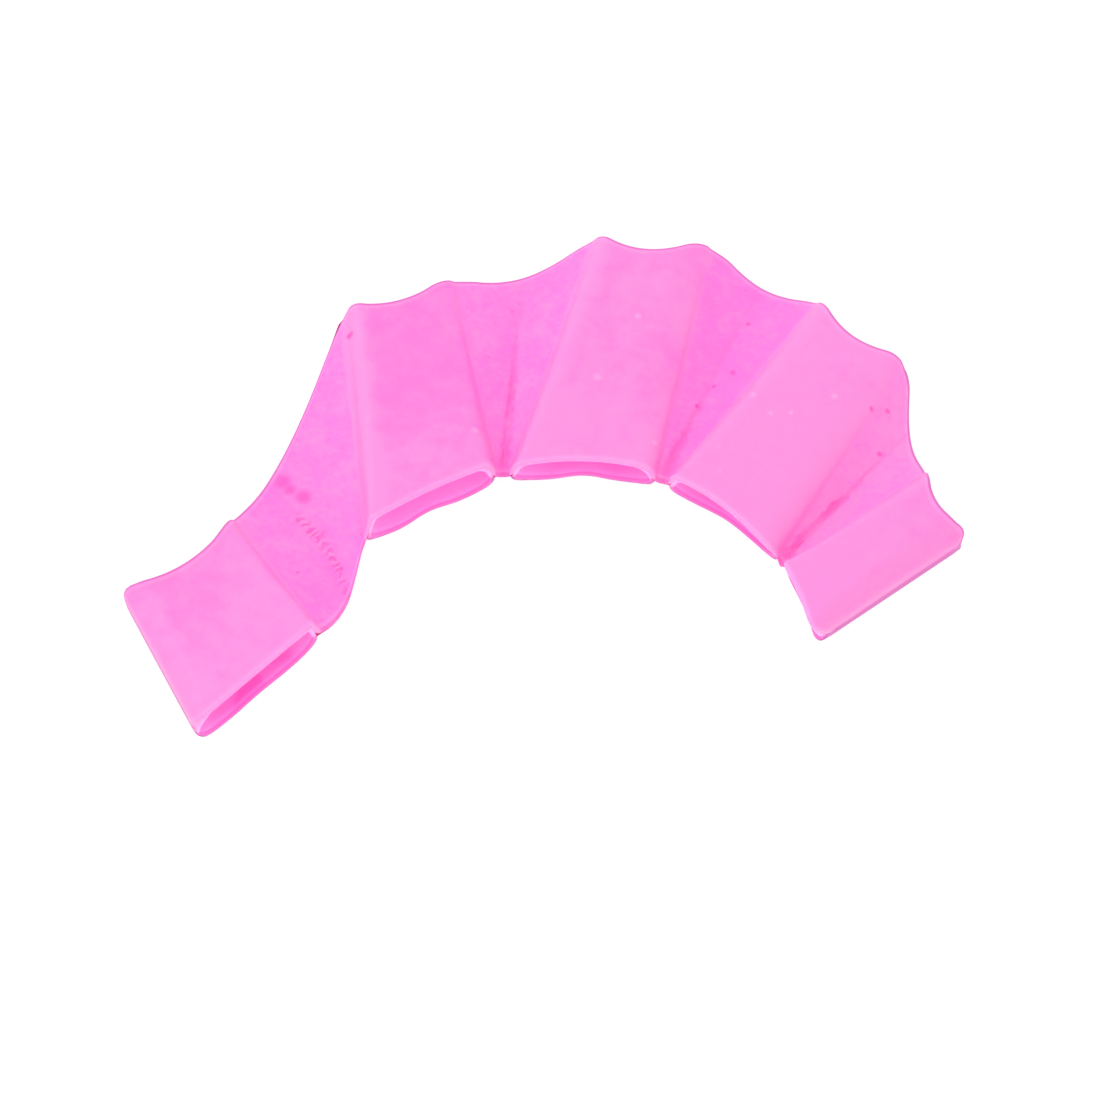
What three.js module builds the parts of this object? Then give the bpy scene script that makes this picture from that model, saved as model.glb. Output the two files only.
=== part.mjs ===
// A webbed swim glove: one moulding in soft silicone, lying palm side down on a table.
// Five flat finger sleeves, open at both ends, fan out round the palm, and four thin webs
// join them side to side. Each web hangs in a shallow fold between its two sleeves.
// The solid is one section swept from the mouths (t = 0) to the tips (t = 1). The section
// is one outer loop, over the top and back underneath, and one hole for each finger.
import * as THREE from "three";

// Driving dimensions, in millimetres
const SLEEVE_WIDTH = 31; // flat width of a full-size sleeve across its mouth
const TIP_WIDTH = 24; // flat width of a full-size sleeve across its tip
const SLEEVE_LENGTH = 66; // mouth to tip of the longest sleeve
const MOUTH_HEIGHT = 9.2; // outside height of a full-size mouth
const TIP_HEIGHT = 7.2; // outside height of a sleeve at its tip
const WALL = 1; // top and bottom walls of a sleeve
const SIDE_WALL = 1.5; // solid width of a sleeve's side, where a web joins
const WEB_THICKNESS = 1.2; // the webs, and the seam along each sleeve's side
const THUMB_WEB = 25; // inner edge of the thumb's web, where the thumb stands off
const FINGER_WEB = 2.6; // inner edge of the webs between the fingers
const FOLD_CLEARANCE = 0.3; // underside of a web's fold above the table
const SHOULDER = 5; // run of a sleeve's rounded shoulder, in from its side
const CORNER_RADIUS = 3; // rounding of the outline's four outermost corners
const MOUTH_RADIUS = 2; // rounding where a mouth and a web's root run together
const LEFT_TIP_RADIUS = 4; // rounding where a web's edge runs into a sleeve's tip
const RIGHT_TIP_RADIUS = 6.5; // rounding where the tip runs into the next web's edge
const RIM_WIDTH = 1.6; // band of thicker rubber along every free edge
const RIM_SWELL = 0.3; // how far that band stands proud of the panel

// Forms without a length
const SEAM_SHARE = 0.44; // height of the side seam at a mouth, as a share of the sleeve's
const TIP_SEAM_SHARE = 0.56; // the same at a tip, where web and sleeve run together
const OUTER_SHARE = 0.28; // the same all along the fan's two outer sides, which fold flat
const ROUNDNESS = 1.8; // exponent of a shoulder: 1 is a straight bevel, 2 is an ellipse
const MOUTH_SQUARE = 0.45; // how much shorter a shoulder is at a mouth, as a share
const BELLY = 6; // exponent of the underside, which the table flattens
const BED = 1.03; // over 1 presses the middle of the underside flat
const FLARE = 1.6; // over 1 keeps a sleeve low until it opens at its mouth
const FOLD_SLOPE = 0.34; // steepest fall of a web towards its fold
const FOLD_DRAPE = 1.3; // over 1 hollows a web's two slopes towards its fold
const EDGE_SLOPE = 0.22; // the same fall at a web's outer edge
const EDGE_DRAPE = 1.8; // the same hollowing there, where the fold fades into a sag
const SLEEVE_COLUMNS = 16; // facets over a sleeve's top, and as many underneath
const WEB_COLUMNS = 3; // facets on each side of a web's fold
const ROWS = 6; // facets along a sleeve, between its two rims

// The sleeves from the thumb on. width, tip, length, height and tipHeight are shares of
// the sizes above, and left and right are shares of SHOULDER. Bows are the hollow of an
// edge as a share of that edge. Turns are degrees clockwise from +X, and heading is
// degrees clockwise from +Y. laps says how far a mouth's upper lip overhangs the lower one
// at its left and right, in millimetres.
const SLEEVES = [
  { width: 1.07, mouthTurn: -45.5, mouthBow: 0, tip: 1.18, tipTurn: -37.5, tipBow: 0.145,
    length: 0.546, heading: -31, height: 0.96, tipHeight: 0.93, left: 1.1, right: 0.5,
    laps: [0, 0] },
  { width: 1.0, mouthTurn: -29, mouthBow: 0.03, tip: 1.03, tipTurn: -19.5, tipBow: 0.16,
    length: 0.855, heading: -8.5, height: 1.0, tipHeight: 0.96, left: 0.8, right: 1.2,
    laps: [0, 0] },
  { width: 1.0, mouthTurn: 2, mouthBow: 0.08, tip: 1.08, tipTurn: 3, tipBow: 0.195,
    length: 0.988, heading: 14.6, height: 0.78, tipHeight: 1.0, left: 0.9, right: 1.5,
    laps: [0, 0] },
  { width: 0.94, mouthTurn: 39, mouthBow: 0.075, tip: 1.02, tipTurn: 39, tipBow: 0.19,
    length: 0.888, heading: 34, height: 0.79, tipHeight: 1.0, left: 0.9, right: 1.9,
    laps: [0.3, 2.2] },
  { width: 0.596, mouthTurn: 72, mouthBow: 0.04, tip: 0.72, tipTurn: 63, tipBow: 0.19,
    length: 0.598, heading: 53.6, height: 0.88, tipHeight: 1.12, left: 0.7, right: 1.2,
    laps: [2, 2] },
];

// The webs between them. root is the inner edge's own size, edgeBow the hollow of the
// outer edge, and foldRoot and foldEdge say how far across the web its fold runs.
const WEBS = [
  { root: THUMB_WEB, turn: -69.5, rootBow: -0.12, edgeBow: 0.06, foldRoot: 0.53, foldEdge: 0.25 },
  { root: FINGER_WEB, turn: -9.7, rootBow: 0.35, edgeBow: 0.11, foldRoot: 0.5, foldEdge: 0.5 },
  { root: FINGER_WEB, turn: 20, rootBow: 0.2, edgeBow: 0.09, foldRoot: 0.45, foldEdge: 0.5 },
  { root: FINGER_WEB, turn: 51, rootBow: -0.2, edgeBow: 0.1, foldRoot: 0.4, foldEdge: 0.5 },
];

const vec = (x, y) => new THREE.Vector2(x, y);
const radians = THREE.MathUtils.degToRad;
const mix = THREE.MathUtils.lerp;
const mixed = (a, b, t) => a.clone().lerp(b, t);
const turned = (degrees) => vec(Math.cos(radians(degrees)), -Math.sin(radians(degrees)));
const headed = (degrees) => vec(Math.sin(radians(degrees)), Math.cos(radians(degrees)));

// Panels in order: sleeve, web, sleeve and so on. Each mouth starts where the web before
// it ends, so a wider sleeve moves the others along instead of running into them.
function layOut() {
  const panels = [];
  let corner = vec(0, 0);
  SLEEVES.forEach((s, i) => {
    const across = turned(s.mouthTurn).multiplyScalar(s.width * SLEEVE_WIDTH);
    const far = corner.clone().add(across);
    const middle = mixed(corner, far, 0.5);
    const tipMiddle = middle.add(headed(s.heading).multiplyScalar(s.length * SLEEVE_LENGTH));
    const half = turned(s.tipTurn).multiplyScalar((s.tip * TIP_WIDTH) / 2);
    panels.push({
      mouth: [corner, far], tip: [tipMiddle.clone().sub(half), tipMiddle.clone().add(half)],
      mouthBow: s.mouthBow, tipBow: s.tipBow,
      mouthHeight: s.height * MOUTH_HEIGHT, tipHeight: s.tipHeight * TIP_HEIGHT,
      shoulders: [s.left * SHOULDER, s.right * SHOULDER],
      laps: s.laps,
    });
    const w = WEBS[i];
    if (!w) return;
    corner = far.clone().add(turned(w.turn).multiplyScalar(w.root));
    panels.push({ ...w, mouth: [far, corner], mouthBow: w.rootBow, tipBow: w.edgeBow });
  });
  panels.forEach((p, k) => {
    if (!p.tip) p.tip = [panels[k - 1].tip[1], panels[k + 1].tip[0]];
    p.along = [0, 1].map((side) => p.tip[side].clone().sub(p.mouth[side]).normalize());
  });
  return panels;
}
const PANELS = layOut();
const LAST = PANELS.length - 1;
const chord = (k, end) => PANELS[k][end][0].distanceTo(PANELS[k][end][1]);
const widthOf = (k, t) => mix(chord(k, "mouth"), chord(k, "tip"), t);
const isOuter = (k, side) => k === (side ? LAST : 0);

// A point of a panel's mouth or tip edge before its corners are rounded: a straight chord,
// hollowed by a parabola towards the panel.
function bowed(k, end, u) {
  const p = PANELS[k];
  const bow = end === "mouth" ? p.mouthBow : -p.tipBow;
  const inward = mixed(p.along[0], p.along[1], u);
  return mixed(p[end][0], p[end][1], u)
    .add(inward.multiplyScalar(bow * chord(k, end) * 4 * u * (1 - u)));
}

// How much of an edge one corner's rounding takes, at most half of it. side is 0 or 1.
function cornerShare(k, end, side) {
  const isLeft = k % 2 === side;
  const joined = end === "mouth" ? MOUTH_RADIUS : isLeft ? LEFT_TIP_RADIUS : RIGHT_TIP_RADIUS;
  return Math.min(0.5, (isOuter(k, side) ? CORNER_RADIUS : joined) / chord(k, end));
}

// The point on the outermost side of the fan where its corner's rounding starts.
function sideStart(k, end, side) {
  const p = PANELS[k];
  const back = end === "mouth" ? CORNER_RADIUS : -CORNER_RADIUS;
  return p[end][side].clone().add(p.along[side].clone().multiplyScalar(back));
}

// A quadratic curve that rounds a corner.
function roundedCorner(before, corner, after, t) {
  return mixed(mixed(before, corner, t), mixed(corner, after, t), t);
}

// A point of the finished edge, u of the way across panel k.
function edge(k, end, u) {
  const [first, last] = [cornerShare(k, end, 0), cornerShare(k, end, 1)];
  const corners = PANELS[k][end];
  if (u < first) {
    const after = bowed(k, end, first);
    if (k === 0) return roundedCorner(sideStart(k, end, 0), corners[0], after, u / first);
    const before = bowed(k - 1, end, 1 - cornerShare(k - 1, end, 1));
    return roundedCorner(before, corners[0], after, 0.5 + (0.5 * u) / first);
  }
  if (u > 1 - last) {
    const before = bowed(k, end, 1 - last);
    const past = (u - 1 + last) / last;
    if (k === LAST) return roundedCorner(before, corners[1], sideStart(k, end, 1), past);
    const after = bowed(k + 1, end, cornerShare(k + 1, end, 0));
    return roundedCorner(before, corners[1], after, 0.5 * past);
  }
  return bowed(k, end, u);
}

// Heights. A sleeve changes from its mouth's height to its tip's, and the seam on each side
// stands at a share of that.
const heightOf = (k, t) =>
  mix(PANELS[k].tipHeight, PANELS[k].mouthHeight, Math.pow(1 - t, FLARE));
const seamOf = (k, side, t) =>
  (isOuter(k, side) ? OUTER_SHARE : mix(SEAM_SHARE, TIP_SEAM_SHARE, t * t)) * heightOf(k, t);

// The middle of a web's thickness: a shallow V from one sleeve's seam to the next one's,
// no steeper than FOLD_SLOPE and no lower than the table lets it hang.
function webHeight(k, u, t) {
  const p = PANELS[k];
  const fold = mix(p.foldRoot, p.foldEdge, t);
  const seams = [seamOf(k - 1, 1, t), seamOf(k + 1, 0, t)];
  const lowest = FOLD_CLEARANCE + WEB_THICKNESS / 2;
  const nearEdge = Math.pow(t, 4);
  const fall = (mix(FOLD_SLOPE, EDGE_SLOPE, nearEdge) * widthOf(k, t)) / 2;
  const foldHeight = Math.max(lowest, Math.min(...seams) - fall);
  const toFold = u < fold ? 1 - u / fold : (u - fold) / (1 - fold);
  const drape = mix(FOLD_DRAPE, EDGE_DRAPE, nearEdge);
  return mix(foldHeight, seams[u < fold ? 0 : 1], Math.pow(toFold, drape));
}

// The rows of the sweep. Each is a share of the column's length and an offset in
// millimetres, so that the rim keeps its width on a short sleeve, and a rim row is proud.
const RUN_IN = 2 * RIM_WIDTH;
const ROW_LIST = [
  { share: 0, offset: 0, proud: 1 },
  { share: 0, offset: RIM_WIDTH, proud: 1 },
  ...Array.from({ length: ROWS + 1 }, (_, i) => {
    const share = i / ROWS;
    return { share, offset: mix(RUN_IN, -RUN_IN, share), proud: 0 };
  }),
  { share: 1, offset: -RIM_WIDTH, proud: 1 },
  { share: 1, offset: 0, proud: 1 },
];

// One vertex: u across panel k, and at(t) gives the height and u may depend on t too.
function place(k, column, row) {
  const middle = (t) => (typeof column.u === "function" ? column.u(t) : column.u);
  const u = middle(row.share);
  const from = edge(k, "mouth", u);
  const to = edge(k, "tip", u);
  const lap = column.lap ? column.lap(row.share) * Math.pow(1 - row.share, 2) : 0;
  const t = row.share + (row.offset - lap) / from.distanceTo(to);
  const p = mixed(from, to, t);
  return new THREE.Vector3(p.x, p.y, column.z(t) + (column.swells ? row.proud * RIM_SWELL : 0));
}

// How far a sleeve's top has risen from its seams to its flat, at a share of its width. Each
// side has its own shoulder, which is squarer at the mouth.
function topLift(k, share, t) {
  const room = mix(1, 1 - MOUTH_SQUARE, Math.pow(1 - t, 3));
  return PANELS[k].shoulders.reduce((lift, run, side) => {
    const fromSide = Math.abs(side - share) * widthOf(k, t);
    const short = 1 - Math.min(1, fromSide / (run * room));
    return lift * Math.pow(1 - Math.pow(short, ROUNDNESS), 1 / ROUNDNESS);
  }, 1);
}

// The same for its underside, which lies flat between its seams.
function bottomLift(share) {
  const reach = Math.abs(1 - 2 * share);
  return Math.min(1, BED * Math.sqrt(1 - Math.pow(reach, BELLY)));
}

// Columns of a sleeve's outside or of its hollow, from the left seam over the top, or
// underneath, to the right seam. They crowd towards the seams, where the section bends.
function sleeveColumns(k, side, hollow) {
  const seamHalf = hollow ? 0 : WEB_THICKNESS / 2;
  const skin = hollow ? WALL : 0;
  return Array.from({ length: SLEEVE_COLUMNS + 1 }, (_, j) => {
    const share = 0.5 - 0.5 * Math.cos((Math.PI * j) / SLEEVE_COLUMNS);
    const inset = (t) => (hollow ? SIDE_WALL / widthOf(k, t) : 0);
    return {
      k,
      u: (t) => mix(inset(t), 1 - inset(t), share),
      z: (t) => {
        const seam = mix(seamOf(k, 0, t), seamOf(k, 1, t), share) + side * seamHalf;
        const crown = side > 0 ? heightOf(k, t) - skin : skin;
        return mix(seam, crown, side > 0 ? topLift(k, share, t) : bottomLift(share));
      },
      swells: side > 0 && !hollow,
      lap: (t) => (side > 0 ? mix(...PANELS[k].laps, share) * topLift(k, share, t) : 0),
    };
  });
}

// Columns of a web's upper or lower face between its two seams.
function webColumns(k, side) {
  const p = PANELS[k];
  const shares = Array.from({ length: 2 * WEB_COLUMNS - 1 }, (_, j) => (j + 1) / WEB_COLUMNS);
  return shares.map((s) => {
    const across = (t) => {
      const fold = mix(p.foldRoot, p.foldEdge, t);
      return s < 1 ? fold * s : mix(fold, 1, s - 1);
    };
    return {
      k,
      u: across,
      z: (t) => webHeight(k, across(t), t) + (side * WEB_THICKNESS) / 2,
      swells: side > 0,
    };
  });
}

// One face of the whole fan from the thumb's side to the little finger's.
function face(side) {
  return PANELS.flatMap((p, k) =>
    k % 2 ? webColumns(k, side) : sleeveColumns(k, side, false));
}

// A closed loop of columns: one way over the top and the other way underneath.
function closed(upper, lower, sharesEnds) {
  const back = [...lower].reverse();
  return [...upper, ...(sharesEnds ? back.slice(1, -1) : back)];
}

// The whole moulding as one closed surface.
function moulding() {
  const outer = closed(face(1), face(-1), false);
  const holes = PANELS.map((p, k) => k).filter((k) => k % 2 === 0).map((k) =>
    closed(sleeveColumns(k, 1, true), sleeveColumns(k, -1, true), true));
  const loops = [outer, ...holes];
  const count = loops.reduce((sum, loop) => sum + loop.length, 0);
  const vertices = ROW_LIST.flatMap((row) =>
    loops.flatMap((loop) => loop.map((column) => place(column.k, column, row))));
  const triangles = [];
  const quad = (a, b, c, d) => triangles.push(a, b, c, a, c, d);
  let start = 0;
  loops.forEach((loop, i) => {
    for (let row = 0; row < ROW_LIST.length - 1; row++) {
      for (let j = 0; j < loop.length; j++) {
        const a = row * count + start + j;
        const b = row * count + start + ((j + 1) % loop.length);
        if (i === 0) quad(a, b, b + count, a + count);
        else quad(b, a, a + count, b + count);
      }
    }
    start += loop.length;
  });
  // The two end faces, column by column: a sleeve's top and bottom walls each get a strip,
  // which meet in a triangle at its seams, and the webs get one strip.
  const cap = [];
  const strip = (a, b, c, d) => cap.push([a, b, c], [a, c, d]);
  const wide = outer.length / 2;
  const under = (i) => 2 * wide - 1 - i;
  let hole = outer.length;
  let j = 0;
  for (let i = 0; i < wide - 1; i++) {
    const inSleeve = outer[i].k === outer[i + 1].k && outer[i].k % 2 === 0;
    if (!inSleeve) {
      strip(i, under(i), under(i + 1), i + 1);
      continue;
    }
    const low = (c) => hole + ((2 * SLEEVE_COLUMNS - c) % (2 * SLEEVE_COLUMNS));
    if (j === 0) cap.push([i, under(i), hole]);
    strip(i, hole + j, hole + j + 1, i + 1);
    strip(low(j), under(i), under(i + 1), low(j + 1));
    j += 1;
    if (j < SLEEVE_COLUMNS) continue;
    cap.push([i + 1, hole + j, under(i + 1)]);
    hole += 2 * SLEEVE_COLUMNS;
    j = 0;
  }
  const lastRow = (ROW_LIST.length - 1) * count;
  cap.forEach(([a, b, c]) => {
    triangles.push(a, b, c);
    triangles.push(lastRow + c, lastRow + b, lastRow + a);
  });
  const geometry = new THREE.BufferGeometry().setFromPoints(vertices);
  geometry.setIndex(triangles);
  geometry.computeVertexNormals();
  return geometry;
}

// The origin is under the middle of the part, on the table.
function centred(geometry) {
  geometry.computeBoundingBox();
  const { min, max } = geometry.boundingBox;
  return geometry.translate(-(min.x + max.x) / 2, -(min.y + max.y) / 2, -min.z);
}

const silicone = new THREE.MeshStandardMaterial({
  color: 0xff8ce0,
  roughness: 0.45,
  metalness: 0,
});

const group = new THREE.Group();
const glove = new THREE.Mesh(centred(moulding()), silicone);
glove.name = "webbed_glove";
group.add(glove);

export default group;
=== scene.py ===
"""A webbed swim glove in soft pink silicone, lying palm side down on a pale table.

Five flat finger sleeves, open at both ends, fan out round the palm. Four thin webs join them
side to side, and each web hangs in a shallow fold. The whole glove is one moulding, so it is
one closed mesh here: a section swept from the mouths of the sleeves to their tips.
Lengths in the tables are millimetres, or shares of the named sizes, as in the solid part.
"""

import logging
import math
from dataclasses import dataclass, field
from enum import Enum

import bmesh
import bpy
import numpy as np
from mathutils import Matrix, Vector

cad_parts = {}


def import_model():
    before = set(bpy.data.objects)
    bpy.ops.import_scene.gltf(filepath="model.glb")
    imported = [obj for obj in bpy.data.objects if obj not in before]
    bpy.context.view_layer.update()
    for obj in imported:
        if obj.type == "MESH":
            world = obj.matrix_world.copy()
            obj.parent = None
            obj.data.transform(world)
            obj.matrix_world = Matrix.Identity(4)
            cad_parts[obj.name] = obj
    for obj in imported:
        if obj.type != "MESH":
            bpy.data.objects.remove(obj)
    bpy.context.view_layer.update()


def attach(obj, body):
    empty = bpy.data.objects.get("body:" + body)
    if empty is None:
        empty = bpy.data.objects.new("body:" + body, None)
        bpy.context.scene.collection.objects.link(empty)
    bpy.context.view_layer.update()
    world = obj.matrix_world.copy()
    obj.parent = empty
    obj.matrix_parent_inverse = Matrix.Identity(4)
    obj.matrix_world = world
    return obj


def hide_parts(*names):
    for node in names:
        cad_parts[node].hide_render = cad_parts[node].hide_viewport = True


LOG = logging.getLogger("swim_glove")
MM = 0.001
MERGE_DISTANCE = 2e-6
OUT_OF_REACH = 99.0  # a distance in millimetres that is too far for any mark

Array = np.ndarray
Socket = bpy.types.NodeSocket
Colour = tuple[float, float, float]


def mix(a: Array, b: Array, t: Array) -> Array:
    """Runs straight from a to b as t goes from 0 to 1."""
    return a + (b - a) * t


def turned(degrees: float) -> Array:
    """A unit vector turned clockwise from +X."""
    angle = math.radians(degrees)
    return np.array([math.cos(angle), -math.sin(angle)])


def headed(degrees: float) -> Array:
    """A unit vector turned clockwise from +Y."""
    angle = math.radians(degrees)
    return np.array([math.sin(angle), math.cos(angle)])


def smooth(x: Array) -> Array:
    """The smooth step 3x^2 - 2x^3 of x, held between 0 and 1."""
    x = np.clip(x, 0.0, 1.0)
    return x * x * (3.0 - 2.0 * x)


@dataclass(frozen=True)
class Step:
    """A smooth change that starts at one place and takes a run to happen."""

    start: float
    run: float

    def rise(self, x: Array) -> Array:
        """Goes from 0 to 1 along the run."""
        return smooth((x - self.start) / self.run)

    def fall(self, x: Array) -> Array:
        """Goes from 1 to 0 along the run."""
        return 1 - self.rise(x)


class Edge(Enum):
    """The two free edges of every panel of the fan."""

    MOUTH = 0
    TIP = 1


class Mark(Enum):
    """The small flaws that moulded rubber has. Pits and nubs are bumps whose colour is
    painted shade and a painted highlight; stains are the rubber's own colour.
    """

    PIT = 0
    NUB = 1
    STAIN = 2


class Face(Enum):
    """The side of a wall that looks up, or the one that looks down at the table."""

    UPPER = 1
    LOWER = -1


@dataclass(frozen=True)
class Sleeve:
    """One finger sleeve: a row of the table, in shares of the named sizes and in degrees.

    left and right are the runs of its two shoulders, tone is how pale its rubber looks, glow
    is how strong the painted highlight on its left shoulder is, depth is how much painted shade
    darkens its hollow, bulge is how wavy its lower lip is, and laps is how far its upper lip
    overhangs the lower one at the two ends of the mouth.
    """

    name: str
    width: float
    mouth_turn: float
    mouth_bow: float
    tip: float
    tip_turn: float
    tip_bow: float
    length: float
    heading: float
    height: float
    tip_height: float
    left: float
    right: float
    tone: float
    glow: float
    depth: float
    bulge: float
    laps: tuple[float, float] = (0.0, 0.0)


@dataclass(frozen=True)
class Web:
    """One web between two sleeves: its root in millimetres and the run of its fold.

    crease is how sharply the fold is creased, and tone is how pale its rubber looks.
    """

    name: str
    root: float
    turn: float
    root_bow: float
    edge_bow: float
    fold_root: float
    fold_edge: float
    crease: float
    tone: float


@dataclass(frozen=True)
class Mould:
    """The named sizes of the moulding, in millimetres, and its forms without a length."""

    sleeve_width: float = 31.0
    tip_width: float = 24.0
    sleeve_length: float = 66.0
    mouth_height: float = 9.2
    tip_height: float = 7.2
    wall: float = 1.0
    side_wall: float = 1.5
    web: float = 1.2
    fold_clearance: float = 0.3
    shoulder: float = 5.0
    corner: float = 3.0
    mouth_corner: float = 2.0
    left_tip_corner: float = 4.0
    right_tip_corner: float = 6.5
    bead: float = 0.66
    bead_run: float = 1.6
    lip: float = 0.42
    lip_bulge: float = 0.5
    lip_run: float = 5.0
    seam_share: float = 0.44
    tip_seam_share: float = 0.56
    outer_share: float = 0.28
    roundness: float = 1.8
    mouth_square: float = 0.45
    belly: float = 6.0
    bed: float = 1.03
    flare: float = 1.6
    fold_slope: float = 0.34
    fold_drape: float = 1.3
    edge_slope: float = 0.22
    edge_drape: float = 1.8
    crease: float = 0.35
    crease_width: float = 0.8
    crease_end: Step = Step(0.8, 0.17)
    least_gap: float = 0.05
    lip_left: float = 1.2
    lip_fall: float = 0.8
    wobble: float = 0.05
    wobble_start: Step = Step(1.5, 3.0)


@dataclass(frozen=True)
class Shading:
    """Where the colour changes on the glove.

    The steps of the line and the band are millimetres from a free edge or from an outer
    side, and so is the width of a groove. The other steps are shares of a sleeve's width.
    """

    tip_line: Step = Step(0.55, 0.55)
    lip_line: Step = Step(0.45, 0.5)
    side_line: Step = Step(0.8, 0.7)
    root_line: float = 0.5
    # the band is a painted highlight along the rounded rims and the upper lips
    band_start: Step = Step(0.5, 0.4)
    band_end: Step = Step(0.9, 1.1)
    lip_band: Step = Step(0.5, 0.9)
    side_band_start: Step = Step(1.5, 0.5)
    side_band_end: Step = Step(2.0, 1.8)
    shoulder: Step = Step(0.04, 0.16)
    # painted highlight on each sleeve's left shoulder, for the light from the left
    left_glow: Step = Step(0.06, 0.2)
    hollow_side: Step = Step(0.0, 0.3)
    groove: float = 1.1


@dataclass(frozen=True)
class Scatter:
    """Flaws at random, one in some of the cells of a net.

    size is the radius of a flaw as a share of a cell, and kept is the share of the cells
    that have one.
    """

    cells_per_metre: float
    size: float
    kept: float
    strength: float


SLEEVES = (
    Sleeve("thumb", 1.07, -45.5, 0.0, 1.18, -37.5, 0.145, 0.546, -31, 0.96, 0.93, 1.1, 0.5, 0.55,
           0.2, 1.0, 0.25),
    Sleeve("index", 1.0, -29, 0.03, 1.03, -19.5, 0.16, 0.855, -8.5, 1.0, 0.96, 0.8, 1.2, 0.33,
           0.7, 0.1, 1.0),
    Sleeve("middle", 1.0, 2, 0.08, 1.08, 3, 0.195, 0.988, 14.6, 0.78, 1.0, 0.9, 1.5, 0.6,
           0.3, 0.4, 0.9),
    Sleeve("ring", 0.94, 39, 0.075, 1.02, 39, 0.19, 0.888, 34, 0.79, 1.0, 0.9, 1.9, 1.0,
           0.1, 0.4, 0.3, (0.3, 2.2)),
    Sleeve("little", 0.596, 72, 0.04, 0.72, 63, 0.19, 0.598, 53.6, 0.88, 1.12, 0.7, 1.2, 0.85,
           0.2, 0.3, 0.0, (2.0, 2.0)),
)

WEBS = (
    Web("thumb web", 25.0, -69.5, -0.12, 0.06, 0.53, 0.25, 0.25, 0.4),
    Web("index web", 2.6, -9.7, 0.35, 0.11, 0.5, 0.5, 1.0, 0.4),
    Web("middle web", 2.6, 20, 0.2, 0.09, 0.45, 0.5, 0.8, 0.3),
    Web("ring web", 2.6, 51, -0.2, 0.1, 0.4, 0.5, 1.0, 0.75),
)

# The flaws that can be seen: kind, place on the table and radius, in millimetres.
# Pits carry painted shade and nubs a painted highlight; stains are the rubber's own colour.
MARKS = (
    (Mark.STAIN, -55.9, -0.4, 2.9),
    (Mark.STAIN, -51.2, -4.3, 2.6),
    (Mark.STAIN, -54.2, -2.4, 2.0),
    (Mark.PIT, -51.9, -10.2, 1.0),
    (Mark.PIT, -42.6, 35.1, 1.2),
    (Mark.PIT, 36.1, 24.2, 0.8),
    (Mark.PIT, 32.5, 18.8, 0.8),
    (Mark.PIT, 44.1, 40.8, 0.8),
    (Mark.PIT, 40.3, 27.4, 1.0),
    (Mark.PIT, 70.9, 6.5, 0.9),
    (Mark.PIT, 69.4, 15.7, 0.8),
    (Mark.PIT, 73.0, 16.4, 0.8),
    (Mark.NUB, 11.0, 22.6, 1.4),
    (Mark.NUB, -15.0, 8.2, 1.3),
    (Mark.NUB, 19.8, 38.8, 1.2),
    (Mark.NUB, 23.0, 6.4, 1.0),
    (Mark.NUB, 44.1, 18.3, 1.2),
    (Mark.NUB, 61.4, 17.6, 1.2),
    (Mark.NUB, 47.7, 13.4, 0.9),
    (Mark.NUB, 52.1, 13.4, 0.9),
)

SCATTER = {
    Mark.PIT: Scatter(230.0, 0.13, 0.35, 0.8),
    Mark.NUB: Scatter(110.0, 0.09, 0.25, 0.6),
    Mark.STAIN: Scatter(60.0, 0.02, 0.05, 0.3),
}

# The long waves in the skin: radians in a millimetre of x and of y, and where each starts
WAVES = ((0.11, 0.05, 0.2), (-0.06, 0.13, 1.3), (0.19, -0.12, 2.6), (0.07, 0.24, 4.1))

# The rows of a rim: degrees round its bead, and millimetres past the bead
BEAD_TURNS = (0, 22, 42, 60, 76, 90)
ROWS_PAST_BEAD = (0.35, 0.75, 1.2, 1.7)

# How columns near a sleeve's side are eased: strength, reach in columns, and rounds
FILLET = (1.4, 3.0, 4)


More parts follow.
